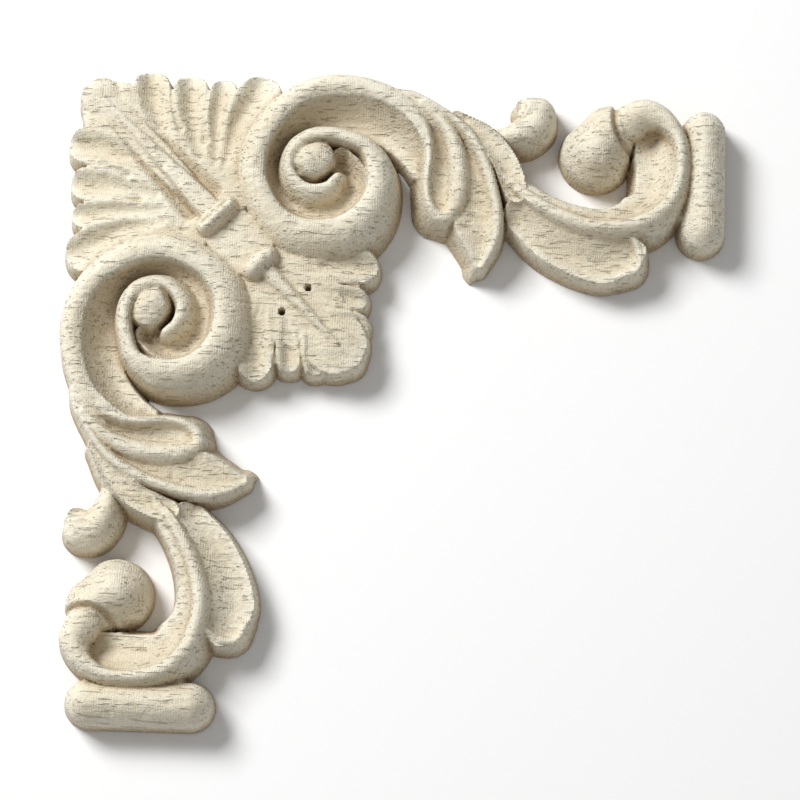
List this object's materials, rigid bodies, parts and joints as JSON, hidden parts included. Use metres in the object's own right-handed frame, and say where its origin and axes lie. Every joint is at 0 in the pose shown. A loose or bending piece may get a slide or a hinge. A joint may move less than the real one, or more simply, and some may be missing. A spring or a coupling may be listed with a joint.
{
  "type": "wooden corner onlay",
  "caption": "Carved wooden corner onlay with scrolling volutes, acanthus leaves and end bars on a flat back, for glueing to furniture.",
  "frame": {"origin": "on the flat back, on the corner's diagonal, 30 mm in from both outer sides", "axes": "+Z out of the carving, +X along one arm away from the outer corner, -Y along the other arm"},
  "size_m": [0.1215, 0.1215, 0.012],
  "materials": {
    "pale_wood": "raw, sanded, open grained"
  },
  "bodies": {
    "root": {"corner_onlay": "pale_wood"}
  },
  "joints": []
}
